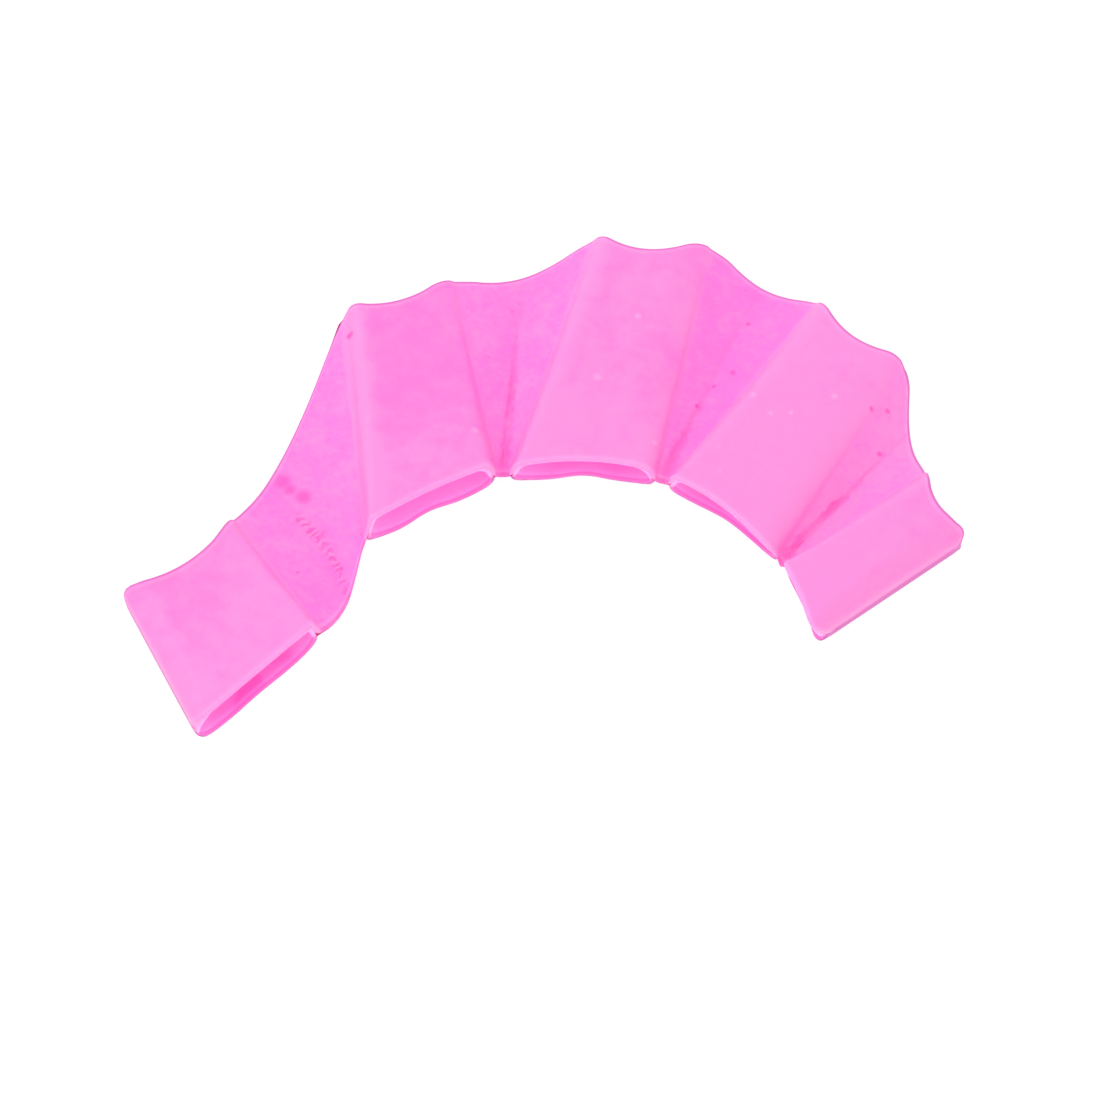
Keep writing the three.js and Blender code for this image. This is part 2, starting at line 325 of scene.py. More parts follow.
@dataclass
class Fan:
    """The plan of the glove: sleeves and webs in turn, with their edges and corners."""

    mould: Mould
    corners: Array = field(init=False)
    bows: Array = field(init=False)
    along: Array = field(init=False)

    def __post_init__(self) -> None:
        """Walks from mouth to mouth and puts the corners of every panel in place."""
        m = self.mould
        count = 2 * len(SLEEVES) - 1
        self.corners = np.zeros((count, 2, 2, 2))
        self.bows = np.zeros((count, 2))
        corner = np.zeros(2)
        for i, sleeve in enumerate(SLEEVES):
            far = corner + turned(sleeve.mouth_turn) * sleeve.width * m.sleeve_width
            tip = (corner + far) / 2 + headed(sleeve.heading) * sleeve.length * m.sleeve_length
            half = turned(sleeve.tip_turn) * sleeve.tip * m.tip_width / 2
            self.corners[2 * i] = [[corner, far], [tip - half, tip + half]]
            self.bows[2 * i] = [sleeve.mouth_bow, sleeve.tip_bow]
            if i == len(WEBS):
                break
            web = WEBS[i]
            corner = far + turned(web.turn) * web.root
            self.corners[2 * i + 1, 0] = [far, corner]
            self.bows[2 * i + 1] = [web.root_bow, web.edge_bow]
        for k in range(1, count, 2):
            self.corners[k, 1] = [self.corners[k - 1, 1, 1], self.corners[k + 1, 1, 0]]
        run = self.corners[:, 1] - self.corners[:, 0]
        self.along = run / np.linalg.norm(run, axis=-1, keepdims=True)

    def chord(self, k: int, edge: Edge) -> float:
        """The straight length of one edge of panel k."""
        ends = self.corners[k, edge.value]
        return float(np.linalg.norm(ends[1] - ends[0]))

    def width(self, k: int, t: Array) -> Array:
        """The panel's width a share t of the way from its mouth to its tip."""
        return mix(self.chord(k, Edge.MOUTH), self.chord(k, Edge.TIP), t)

    def bowed(self, k: int, edge: Edge, u: Array) -> Array:
        """A chord hollowed by a parabola.

        Args:
            k: The panel.
            edge: Its mouth or its tip.
            u: Shares of the way across the panel.

        Returns:
            The points, one for each u.
        """
        u = np.asarray(u, dtype=float)[..., None]
        start, end = self.corners[k, edge.value]
        sign = 1.0 if edge is Edge.MOUTH else -1.0
        depth = sign * self.bows[k, edge.value] * self.chord(k, edge)
        inward = mix(self.along[k, 0], self.along[k, 1], u)
        return mix(start, end, u) + inward * depth * 4 * u * (1 - u)

    def is_outer(self, k: int, side: int) -> bool:
        """Whether this side of the panel is one of the fan's two outermost."""
        return k == (len(self.corners) - 1 if side else 0)

    def corner_share(self, k: int, edge: Edge, side: int) -> float:
        """How much of an edge the rounding of one corner takes, at most half."""
        m = self.mould
        tip = m.left_tip_corner if k % 2 == side else m.right_tip_corner
        radius = m.mouth_corner if edge is Edge.MOUTH else tip
        if self.is_outer(k, side):
            radius = m.corner
        return min(0.5, radius / self.chord(k, edge))

    def side_start(self, k: int, edge: Edge, side: int) -> Array:
        """The point on the fan's outermost side where its corner's rounding starts."""
        back = self.mould.corner if edge is Edge.MOUTH else -self.mould.corner
        return self.corners[k, edge.value, side] + self.along[k, side] * back

    def edge(self, k: int, edge: Edge, u: Array) -> Array:
        """The finished edge: the bowed chord with quadratic curves round its corners.

        Args:
            k: The panel.
            edge: Its mouth or its tip.
            u: Shares of the way across the panel, in an array of any shape.

        Returns:
            The points in an array of the same shape with one more axis of two.
        """
        point = self.bowed(k, edge, u)
        for side in (0, 1):
            share = self.corner_share(k, edge, side)
            from_side = np.abs(side - u)
            past = np.clip(1 - from_side / share, 0.0, 1.0)[..., None]
            near = self.bowed(k, edge, np.array(abs(side - share)))
            corner = self.corners[k, edge.value, side]
            if self.is_outer(k, side):
                rounded = self.quadratic(near, corner, self.side_start(k, edge, side), past)
            else:
                beyond = k + 2 * side - 1
                reach = self.corner_share(beyond, edge, 1 - side)
                after = self.bowed(beyond, edge, np.array(abs(1 - side - reach)))
                rounded = self.quadratic(near, corner, after, 0.5 * past)
            point = np.where((from_side < share)[..., None], rounded, point)
        return point

    @staticmethod
    def quadratic(a: Array, b: Array, c: Array, t: Array) -> Array:
        """A quadratic curve from a to c that leans towards b."""
        return mix(mix(a, b, t), mix(b, c, t), t)


@dataclass
class Rows:
    """The rows of the sweep, close together at the two rims.

    A row is a share of a column's length and an offset in millimetres, so that a rim keeps
    its width on a short sleeve. from_edge is the distance to the nearer free edge.
    """

    mould: Mould
    inner_rows: int = 64
    run_in: float = 0.6
    share: Array = field(init=False)
    offset: Array = field(init=False)
    from_edge: Array = field(init=False)

    def __post_init__(self) -> None:
        """Lays the rows of one rim, the rows between the rims, and the other rim."""
        bead = self.mould.bead
        round_off = bead * (1 - np.cos(np.radians(BEAD_TURNS)))
        rim = np.concatenate([round_off, bead + np.array(ROWS_PAST_BEAD)])
        run_in = rim[-1] + self.run_in
        inner = np.linspace(0.0, 1.0, self.inner_rows)
        self.share = np.concatenate([np.zeros(len(rim)), inner, np.ones(len(rim))])
        self.offset = np.concatenate([rim, mix(run_in, -run_in, inner), -rim[::-1]])
        far = np.full(len(inner), OUT_OF_REACH)
        far[[0, -1]] = run_in
        self.from_edge = np.concatenate([rim, far, rim[::-1]])

    def half_thickness(self, half: float, bead: float) -> Array:
        """Half the wall along each row: a round bead at the rim that changes into the wall.

        Within the bead's radius it is the half circle sqrt(b^2 - (b - e)^2), and past it the
        bead dies out along a smooth step.

        Args:
            half: Half the wall's plain thickness.
            bead: The radius of the bead, in millimetres.

        Returns:
            One number for each row.
        """
        b, e = bead, self.from_edge
        circle = np.sqrt(np.maximum(0.0, b * b - np.square(b - np.minimum(e, b))))
        fade = 1 - smooth((e - b) / self.mould.bead_run)
        return np.where(e < b, circle, half + (b - half) * fade)


@dataclass
class Glove:
    """The one-piece silicone glove: sleeves, webs, folds and rims in one closed mesh."""

    mould: Mould
    shading: Shading = Shading()
    sleeve_steps: int = 36
    web_steps: int = 12
    fan: Fan = field(init=False)
    rows: Rows = field(init=False)

    def __post_init__(self) -> None:
        """Draws the plan and the rows that the sweep follows."""
        self.fan = Fan(self.mould)
        self.rows = Rows(self.mould)

    def height(self, k: int, t: Array) -> Array:
        """A sleeve's outside height: low along its length and raised towards its mouth."""
        sleeve = SLEEVES[k // 2]
        tip = sleeve.tip_height * self.mould.tip_height
        mouth = sleeve.height * self.mould.mouth_height
        return mix(tip, mouth, np.power(1 - t, self.mould.flare))

    def seam(self, k: int, side: int, t: Array) -> Array:
        """The height of the seam on one side of a sleeve, where a web joins it."""
        m = self.mould
        inner = mix(m.seam_share, m.tip_seam_share, t * t)
        share = m.outer_share if self.fan.is_outer(k, side) else inner
        return share * self.height(k, t)

    def fold(self, k: int, t: Array) -> Array:
        """How far across the web its fold lies, a share t from its root to its edge."""
        web = WEBS[k // 2]
        return mix(web.fold_root, web.fold_edge, t)

    def web_height(self, k: int, u: Array, t: Array) -> Array:
        """The middle of a web: a draped V between two seams with a crease along its floor."""
        m = self.mould
        fold = self.fold(k, t)
        left, right = self.seam(k - 1, 1, t), self.seam(k + 1, 0, t)
        width = self.fan.width(k, t)
        lowest = m.fold_clearance + m.web / 2
        near_edge = np.power(t, 4)
        slope = mix(m.fold_slope, m.edge_slope, near_edge)
        floor = np.maximum(lowest, np.minimum(left, right) - slope * width / 2)
        rise = np.where(u < fold, 1 - u / fold, (u - fold) / (1 - fold))
        seam = np.where(u < fold, left, right)
        drape = mix(m.fold_drape, m.edge_drape, near_edge)
        z = mix(floor, seam, np.power(np.clip(rise, 0.0, 1.0), drape))
        groove = m.crease * WEBS[k // 2].crease * m.crease_end.fall(t)
        groove = groove * np.exp(-np.square((u - fold) * width / m.crease_width))
        return np.maximum(z - groove, m.web / 2 + m.least_gap)

    def place(self, k: int, u: Array, z: Array, slack: Array | float = 0.0) -> Array:
        """Sweeps columns from the mouth edge to the tip edge.

        Args:
            k: The panel.
            u: Shares of the way across it, rows by columns.
            z: Heights, rows by columns.
            slack: How far the points hang out past the mouth edge, in millimetres.

        Returns:
            Points, rows by columns by three.
        """
        start = self.fan.edge(k, Edge.MOUTH, u)
        end = self.fan.edge(k, Edge.TIP, u)
        run = np.linalg.norm(end - start, axis=-1)
        from_mouth = self.rows.share[:, None] * run + self.rows.offset[:, None]
        plan = mix(start, end, ((from_mouth - slack) / run)[..., None])
        return np.concatenate([plan, z[..., None]], axis=-1)

    def shares(self) -> Array:
        """The share of the way across a sleeve at which each of its columns lies."""
        return 0.5 - 0.5 * np.cos(np.pi * np.arange(self.sleeve_steps + 1) / self.sleeve_steps)

    def web_shares(self, k: int, t: Array) -> Array:
        """The same across a web, with as many columns on each side of its fold."""
        steps = np.arange(1, 2 * self.web_steps)[None, :] / self.web_steps
        fold = self.fold(k, t)
        return np.where(steps < 1, fold * steps, mix(fold, 1.0, steps - 1))

    def top_lift(self, k: int, share: Array, t: Array) -> Array:
        """How far a sleeve's top has risen from its seams to its flat.

        Each side has a shoulder of its own, a quarter of a superellipse, squarer at the mouth.

        Args:
            k: The sleeve's panel.
            share: Shares of the way across it.
            t: Shares of the way along it.

        Returns:
            Lifts from 0 to 1.
        """
        m = self.mould
        room = mix(1.0, 1 - m.mouth_square, np.power(1 - t, 3))
        lift = np.ones_like(share + t)
        runs = (SLEEVES[k // 2].left, SLEEVES[k // 2].right)
        for side, run in enumerate(runs):
            from_side = np.abs(side - share) * self.fan.width(k, t)
            short = 1 - np.minimum(1.0, from_side / (run * m.shoulder * room))
            lift = lift * np.power(1 - np.power(short, m.roundness), 1 / m.roundness)
        return lift

    def bottom_lift(self, share: Array) -> Array:
        """The same for its underside, which lies flat between its seams."""
        reach = np.abs(1 - 2 * share)
        m = self.mould
        return np.minimum(1.0, m.bed * np.sqrt(1 - np.power(reach, m.belly)))

    def sleeve_face(self, k: int, face: Face, hollow: bool) -> Array:
        """One face of a sleeve's wall, from its left seam to its right seam.

        Args:
            k: The panel.
            face: The upper or the lower wall.
            hollow: True for the face of the hollow, False for the outside.

        Returns:
            Points, rows by columns by three.
        """
        m = self.mould
        t = self.rows.share[:, None]
        share = self.shares()[None, :]
        inset = m.side_wall / self.fan.width(k, t) if hollow else 0.0
        u = mix(inset, 1 - inset, share) + 0 * t
        seam_half = np.full_like(share, 0.0 if hollow else m.web / 2)
        for side in (0, 1):
            if self.fan.is_outer(k, side):
                seam_half = np.where(np.abs(side - share) < 0.5, 0.0, seam_half)
        seam = mix(self.seam(k, 0, t), self.seam(k, 1, t), share) + face.value * seam_half
        skin = m.wall if hollow else 0.0
        sleeve = SLEEVES[k // 2]
        if face is Face.LOWER:
            from_mouth = t * sleeve.length * m.sleeve_length + self.rows.offset[:, None]
            wave = -np.cos(4 * np.pi * share) * np.sin(np.pi * share)
            wave = wave * (m.lip_left - m.lip_fall * share)
            slack = m.lip_bulge * sleeve.bulge * wave * np.exp(-from_mouth / m.lip_run)
            return self.place(k, u, mix(seam, skin, self.bottom_lift(share)), slack)
        lift = self.top_lift(k, share, t)
        slack = mix(*sleeve.laps, share) * lift * np.square(1 - t)
        return self.place(k, u, mix(seam, self.height(k, t) - skin, lift), slack)

    def web_face(self, k: int, face: Face) -> Array:
        """One face of a web between its two seams, which belong to the sleeves."""
        t = self.rows.share[:, None]
        u = self.web_shares(k, t)
        z = self.web_height(k, u, t) + face.value * self.mould.web / 2
        return self.place(k, u, z)

    def rimmed(self, upper: Array, lower: Array, half: float, bead: float) -> None:
        """Rounds the free edges of one wall in place, and keeps it on the table.

        Both faces close on the wall's middle at the edge, as far from it as the rim's round
        bead says.

        Args:
            upper: Points of the upper face, rows by columns by three.
            lower: Points of the lower face.
            half: Half the wall's plain thickness.
            bead: The radius of the rim's bead.
        """
        thick = self.rows.half_thickness(half, bead)
        middle = (upper + lower) / 2
        spread = (upper - lower) / 2 * (thick / half)[:, None, None]
        lowest = np.minimum(middle[..., 2], half)
        lift = np.maximum(0.0, thick[:, None] - lowest)
        middle[..., 2] += lift * (middle[..., 2] < self.mould.bead)
        upper[:] = middle + spread
        lower[:] = middle - spread

    def wobble(self, points: Array) -> Array:
        """The slight unevenness of soft rubber: a sum of long waves in plan.

        Args:
            points: Points in millimetres, with any leading axes.

        Returns:
            Heights to add, none near the table.
        """
        x, y, z = np.moveaxis(points, -1, 0)
        total = sum(np.sin(x * a + y * b + c) for a, b, c in WAVES)
        return self.mould.wobble * total * self.mould.wobble_start.rise(z)

    def build(self, name: str) -> bpy.types.Object:
        """Builds the closed mesh and the attributes that its finish reads.

        Args:
            name: The name of the new object.

        Returns:
            The object, with its place in its mesh.
        """
        m = self.mould
        count = len(self.fan.corners)
        upper: list[Array] = []
        lower: list[Array] = []
        rings: list[Array] = []
        kinds: list[Array] = []
        for k in range(count):
            if k % 2:
                top, bottom = (self.web_face(k, face) for face in Face)
                self.rimmed(top, bottom, m.web / 2, m.bead)
            else:
                top, bottom = (self.sleeve_face(k, face, False) for face in Face)
                roof, bed = (self.sleeve_face(k, face, True) for face in Face)
                self.join_rims(top, roof, bed, bottom)
                rings.append(np.concatenate([roof, bed[:, -2:0:-1]], axis=1))
            upper.append(top)
            lower.append(bottom)
            kinds.append(np.full(top.shape[1], float(k)))
        top = self.filleted(np.concatenate(upper, axis=1), kinds)
        bottom = np.concatenate(lower, axis=1)
        outer = np.concatenate([top, bottom[:, ::-1]], axis=1)
        return self.mesh(name, outer, rings, np.concatenate(kinds))

    def join_rims(self, top: Array, roof: Array, bed: Array, bottom: Array) -> None:
        """Rounds a sleeve's rims, where its two walls and a web meet at each seam.

        The three corners of a seam close on their own middle at the free edge.

        Args:
            top: The upper wall's outside.
            roof: The upper wall's face in the hollow.
            bed: The lower wall's face in the hollow.
            bottom: The lower wall's outside.
        """
        m = self.mould
        half = m.wall / 2
        grow = (self.rows.half_thickness(m.web / 2, m.bead) / (m.web / 2))[:, None]
        seams = []
        for j in (0, -1):
            middle = (top[:, j] + roof[:, j] + bottom[:, j]) / 3
            grown = [middle + (face[:, j] - middle) * grow for face in (top, roof, bottom)]
            seams.append(grown)
        self.rimmed(top, roof, half, m.bead)
        self.rimmed(bed, bottom, half, m.lip)
        for j, grown in zip((0, -1), seams):
            top[:, j], roof[:, j], bottom[:, j] = grown
            bed[:, j] = roof[:, j]

    @staticmethod
    def filleted(top: Array, kinds: list[Array]) -> Array:
        """Softens the corner between a sleeve's side and its web.

        Args:
            top: The whole upper face, rows by columns by three.
            kinds: The panel number of each column, one array for each panel.

        Returns:
            The upper face with its columns near each seam eased towards their neighbours.
        """
        strength, reach, rounds = FILLET
        panel = np.concatenate(kinds)
        near = np.zeros(len(panel))
        for seam in np.flatnonzero(np.diff(panel)):
            far = np.abs(np.arange(len(panel)) - seam - 0.5)
            near = np.maximum(near, np.clip(strength - far / reach, 0.0, 1.0))
        near[[0, -1]] = 0.0
        for _ in range(rounds):
            eased = top.copy()
            eased[:, 1:-1] = 0.25 * top[:, :-2] + 0.5 * top[:, 1:-1] + 0.25 * top[:, 2:]
            top = mix(top, eased, near[None, :, None])
        return top

    def mesh(
        self, name: str, outer: Array, rings: list[Array], panel: Array
    ) -> bpy.types.Object:
        """Puts the swept loops into one mesh and closes it at the rims.

        Args:
            name: The name of the new object.
            outer: The outside loop, rows by columns by three.
            rings: The loop of each hollow.
            panel: The panel number of each column of the upper face.

        Returns:
            The new object.
        """
        loops = [outer, *rings]
        for loop in loops:
            loop[..., 2] += self.wobble(loop)
        low, high = outer.min(axis=(0, 1)), outer.max(axis=(0, 1))
        shift = np.array([-(low[0] + high[0]) / 2, -(low[1] + high[1]) / 2, -low[2]])
        points, faces, base = [], [], 0
        for i, loop in enumerate(loops):
            count, columns = loop.shape[:2]
            index = base + np.arange(count * columns).reshape(count, columns)
            right = np.roll(index, -1, axis=1)
            quads = np.stack([index[:-1], right[:-1], right[1:], index[1:]], axis=-1)
            faces.append(quads.reshape(-1, 4) if i == 0 else quads.reshape(-1, 4)[:, ::-1])
            points.append((loop + shift).reshape(-1, 3))
            base += count * columns
        data = bpy.data.meshes.new(name)
        data.from_pydata(
            (np.concatenate(points) * MM).tolist(), [], np.concatenate(faces).tolist()
        )
        for key, values in self.attributes(loops, panel).items():
            layer = data.attributes.new(key, "FLOAT", "POINT")
            layer.data.foreach_set("value", values.astype(np.float32))
        self.close(data)
        data.shade_smooth()
        glove = bpy.data.objects.new(name, data)
        bpy.context.scene.collection.objects.link(glove)
        return glove

    def attributes(self, loops: list[Array], panel: Array) -> dict[str, Array]:
        """What the finish needs to know about each point.

        Args:
            loops: The outside loop and the loops of the hollows.
            panel: The panel number of each column of the upper face.

        Returns:
            line: 1 on the thin line of painted shade round the outline, where a rounded
            edge turns under.
            band: 1 on the painted highlight beside that line, along the rims, and on the
            mouths' upper lips.
            web: 1 on a web and 0 on a sleeve.
            tone: how pale the rubber looks, from 0 to about 1, with a painted highlight
            on the sleeves' left shoulders.
            hollow: 1 inside a sleeve.
            depth: how much painted shade darkens it in there, least near the two ends of
            a mouth.
            shoulder: 1 on a sleeve at its two seams, falling to 0 on its top; there the
            web colour is laid as the colour of the slopes' painted shade.
            seam: 1 in the groove where a web meets a sleeve, where painted light lifts
            the shade.
            fold: signed distance across a web from its fold, in millimetres.
            crease: how sharply that fold is creased, from 0 to 1.
            gather: 1 on a web whose fold is gathered in a row of small crinkles.
            along: distance from the mouth or the root, in millimetres.
        """
        both = np.concatenate([panel, panel[::-1]]).astype(int)
        tones = np.array([part.tone for pair in zip(SLEEVES, WEBS) for part in pair])
        tones = np.append(tones, SLEEVES[-1].tone)
        creases = np.array([web.crease for web in WEBS])
        across = self.shares()
        shoulder = self.shading.shoulder.fall(np.minimum(across, 1 - across))
        shoulder = self.on_sleeves(both, [shoulder] * len(SLEEVES))
        # The sleeves' left shoulders are paler: a painted highlight added to the tone
        left = self.shading.left_glow.fall(across)
        left = self.on_sleeves(both, [sleeve.glow * left for sleeve in SLEEVES])
        parts: dict[str, list[Array]] = {}
        for i, loop in enumerate(loops):
            shape = loop.shape[:2]
            outside = i == 0
            own = both if outside else np.full(shape[1], 2 * (i - 1))
            is_web = own % 2
            line, band = self.outline(loop, is_web if outside else None)
            reach = np.linalg.norm(np.diff(loop[..., :2], axis=0), axis=-1)
            run = np.concatenate([np.zeros((1, shape[1])), np.cumsum(reach, axis=0)])
            values = {
                "line": line,
                "band": band,
                "web": is_web[None, :],
                "tone": tones[own][None, :] + (left if outside else 0.0),
                "hollow": np.full(shape, float(not outside)),
                "depth": np.zeros(shape) if outside else self.hollow_shade(i - 1),
                "shoulder": shoulder if outside else np.zeros(shape),
                "seam": self.grooves(loop, panel) if outside else np.zeros(shape),
                "fold": self.from_fold(both) if outside else np.full(shape, OUT_OF_REACH),
                "crease": np.where(is_web, creases[np.minimum(own // 2, len(WEBS) - 1)], 0.0),
                "gather": (own == 1).astype(float)[None, :],
                "along": run,
            }
            for key, value in values.items():
                parts.setdefault(key, []).append(np.broadcast_to(value, shape).ravel())
        return {key: np.concatenate(lists) for key, lists in parts.items()}

    def hollow_shade(self, sleeve: int) -> Array:
        """How much painted shade darkens each column of a hollow.

        Args:
            sleeve: The number of the sleeve.

        Returns:
            One row of numbers from 0 to 1, for its roof and then its bed.
        """
        across = self.shares()
        depth = self.shading.hollow_side.rise(np.minimum(across, 1 - across))
        depth = SLEEVES[sleeve].depth * depth
        return np.concatenate([depth, depth[-2:0:-1]])[None, :]

    @staticmethod
    def on_sleeves(panels: Array, values: list[Array]) -> Array:
        """Puts a number on each column of the sleeves' upper faces, and 0 everywhere else.

        Args:
            panels: The panel number of each column of the outside loop.
            values: The numbers of each sleeve's columns, from its left side to its right.

        Returns:
            One row, with a number for each column of the outside loop.
        """
        row = np.zeros(len(panels))
        upper = panels[: len(panels) // 2]
        for i, value in enumerate(values):
            row[np.flatnonzero(upper == 2 * i)] = value
        return row[None, :]

    def outline(self, loop: Array, is_web: Array | None) -> tuple[Array, Array]:
        """Where the thin line of painted shade round the outline runs, and the painted
        highlight beside it.

        Args:
            loop: The outside loop or the loop of a hollow.
            is_web: 1 for each column of a web, or None for a hollow.

        Returns:
            line and band, from 0 to 1, rows by columns.
        """
        columns = loop.shape[1]
        rim = self.rows.from_edge[:, None]
        at_tip = (self.rows.share > 0.5)[:, None]
        over = (np.arange(columns) < columns // 2)[None, :]
        sleeve_lip = over & (is_web == 0 if is_web is not None else True)
        s = self.shading
        root = 1.0 if is_web is None else 1 - s.root_line * is_web[None, :]
        lower_lip = np.where(sleeve_lip, 0.0, s.lip_line.fall(rim) * root)
        line = np.where(at_tip, s.tip_line.fall(rim), lower_lip)
        pale = s.band_start.rise(rim) * s.band_end.fall(rim)
        band = np.where(at_tip | ~sleeve_lip, pale, s.lip_band.fall(rim))
        if is_web is not None:
            side = self.from_outer_side(loop)
            line = np.maximum(line, s.side_line.fall(side))
            pale = s.side_band_start.rise(side) * s.side_band_end.fall(side)
            band = np.maximum(band, pale)
        return line + 0 * loop[..., 0], band + 0 * loop[..., 0]

    @staticmethod
    def round_the_glove(outer: Array) -> Array:
        """Distance along the skin from each row's first point, and at the end its girth."""
        step = np.linalg.norm(np.diff(outer, axis=1, append=outer[:, :1]), axis=-1)
        return np.concatenate([np.zeros((len(outer), 1)), np.cumsum(step, axis=1)], axis=1)

    def from_outer_side(self, outer: Array) -> Array:
        """Distance along the skin to the nearer of the glove's two outermost sides."""
        run = self.round_the_glove(outer)
        here, girth = run[:, :-1], run[:, -1:]
        right = run[:, outer.shape[1] // 2][:, None]
        return np.minimum(np.abs(here - right), np.minimum(here, girth - here))

    def grooves(self, outer: Array, panels: Array) -> Array:
        """The grooves along the sides of the sleeves, on the upper face, where painted light
        lifts the shade.

        Args:
            outer: The outside loop, rows by columns by three.
            panels: The panel number of each column of the upper face.

        Returns:
            1 where a web meets a sleeve, falling to 0 about 2 mm from there.
        """
        run = self.round_the_glove(outer)
        near = np.zeros(outer.shape[:2])
        for k in np.flatnonzero(np.diff(panels)):
            own = k if panels[k] % 2 == 0 else k + 1
            far = np.abs(run[:, :-1] - run[:, [own]])
            near = np.maximum(near, np.exp(-np.square(far / self.shading.groove)))
        return near

    def from_fold(self, panels: Array) -> Array:
        """Signed distance across each web from its fold, and a large one on the sleeves.

        Args:
            panels: The panel number of each column of the outside loop.

        Returns:
            Distances in millimetres, rows by columns.
        """
        share = self.rows.share[:, None]
        across = np.full((len(share), len(panels)), OUT_OF_REACH)
        for k in range(1, len(self.fan.corners), 2):
            u = self.web_shares(k, share)
            u = np.concatenate([u, u[:, ::-1]], axis=1)
            own = np.flatnonzero(panels == k)
            across[:, own] = (u - self.fold(k, share)) * self.fan.width(k, share)
        return across

    @staticmethod
    def close(data: bpy.types.Mesh) -> None:
        """Merges the points that meet at the rims and turns every face outwards."""
        work = bmesh.new()
        work.from_mesh(data)
        bmesh.ops.remove_doubles(work, verts=work.verts, dist=MERGE_DISTANCE)
        bmesh.ops.recalc_face_normals(work, faces=work.faces)
        work.to_mesh(data)
        work.free()


@dataclass(frozen=True)
class Noise:
    """Soft noise: how many features it has in a metre, its detail and its strength."""

    per_metre: float
    detail: float
    strength: float = 1.0


@dataclass
class Nodes:
    """The node tree of a finish, with a method for each kind of node in it."""

    tree: bpy.types.NodeTree
    place: Socket = field(init=False)

    def __post_init__(self) -> None:
        """Adds the node that gives the place on the piece."""
        self.place = self.tree.nodes.new("ShaderNodeTexCoord").outputs["Object"]

    def feed(self, value: Socket | Colour | float, socket: Socket) -> None:
        """Links a value to a socket, or sets a plain number or colour on it."""
        if isinstance(value, Socket):
            self.tree.links.new(value, socket)
        else:
            socket.default_value = (*value, 1.0) if isinstance(value, tuple) else value

    def attribute(self, name: str) -> Socket:
        """Reads one of the mesh's own attributes."""
        node = self.tree.nodes.new("ShaderNodeAttribute")
        node.attribute_name = name
        return node.outputs["Fac"]

    def ramp(
        self, value: Socket, start: float, end: float, low: float = 0.0, high: float = 1.0
    ) -> Socket:
        """Maps start..end smoothly to low..high, and holds it outside that range."""
        node = self.tree.nodes.new("ShaderNodeMapRange")
        node.interpolation_type = "SMOOTHSTEP"
        keys = ("Value", "From Min", "From Max", "To Min", "To Max")
        for key, number in zip(keys, (value, start, end, low, high)):
            self.feed(number, node.inputs[key])
        return node.outputs["Result"]

    def change(self, name: str, low: float, high: float) -> Socket:
        """Runs from low to high as one of the mesh's own attributes goes from 0 to 1."""
        return self.ramp(self.attribute(name), 0.0, 1.0, low, high)

    def maths(self, kind: str, value: Socket, *others: Socket | float) -> Socket:
        """One kind of sum, on the value and each of the others in turn."""
        for other in others or (0.0,):
            node = self.tree.nodes.new("ShaderNodeMath")
            node.operation = kind
            self.feed(value, node.inputs[0])
            self.feed(other, node.inputs[1])
            value = node.outputs[0]
        return value

    def times(self, *values: Socket | float) -> Socket:
        """All the values multiplied, the first of them a socket."""
        return self.maths("MULTIPLY", *values)

    def tint(self, base: Socket | Colour, over: Socket | Colour, amount: Socket) -> Socket:
        """Lays one colour over another, as much as amount says."""
        node = self.tree.nodes.new("ShaderNodeMix")
        node.data_type = "RGBA"
        for key, value in (("Factor", amount), ("A", base), ("B", over)):
            self.feed(value, node.inputs[key])
        return node.outputs["Result"]

    def noise(self, kind: Noise) -> Socket:
        """Soft noise of about 0.5, without its strength."""
        node = self.tree.nodes.new("ShaderNodeTexNoise")
        node.inputs["Scale"].default_value = kind.per_metre
        node.inputs["Detail"].default_value = kind.detail
        self.feed(self.place, node.inputs["Vector"])
        return node.outputs[0]

    def uneven(self, kind: Noise) -> Socket:
        """The same noise about 0, with its strength."""
        about_zero = self.maths("SUBTRACT", self.noise(kind), 0.5)
        return self.times(about_zero, kind.strength)

    def spots(self, scatter: Scatter) -> Socket:
        """Scattered round spots: 1 at a spot's middle, falling to 0 at its edge."""
        cell = self.tree.nodes.new("ShaderNodeTexVoronoi")
        cell.inputs["Scale"].default_value = scatter.cells_per_metre
        self.feed(self.place, cell.inputs["Vector"])
        split = self.tree.nodes.new("ShaderNodeSeparateColor")
        self.feed(cell.outputs["Color"], split.inputs["Color"])
        spot = self.ramp(cell.outputs["Distance"], 0.0, scatter.size, 1.0, 0.0)
        chosen = self.maths("LESS_THAN", split.outputs[0], scatter.kept)
        return self.times(spot, chosen, scatter.strength)

    def vector(self, kind: str, a: Socket, b: tuple[float, float, float], output: str) -> Socket:
        """One sum on a vector and three numbers."""
        node = self.tree.nodes.new("ShaderNodeVectorMath")
        node.operation = kind
        node.inputs[1].default_value = b
        self.feed(a, node.inputs[0])
        return node.outputs[output]


@dataclass(frozen=True)
class Signs:
    """What marks the rubber: its flaws and creases from 0 to 1, and gathers from -1 to 1."""

    flaws: dict[Mark, Socket]
    gathers: Socket
    crease: Socket


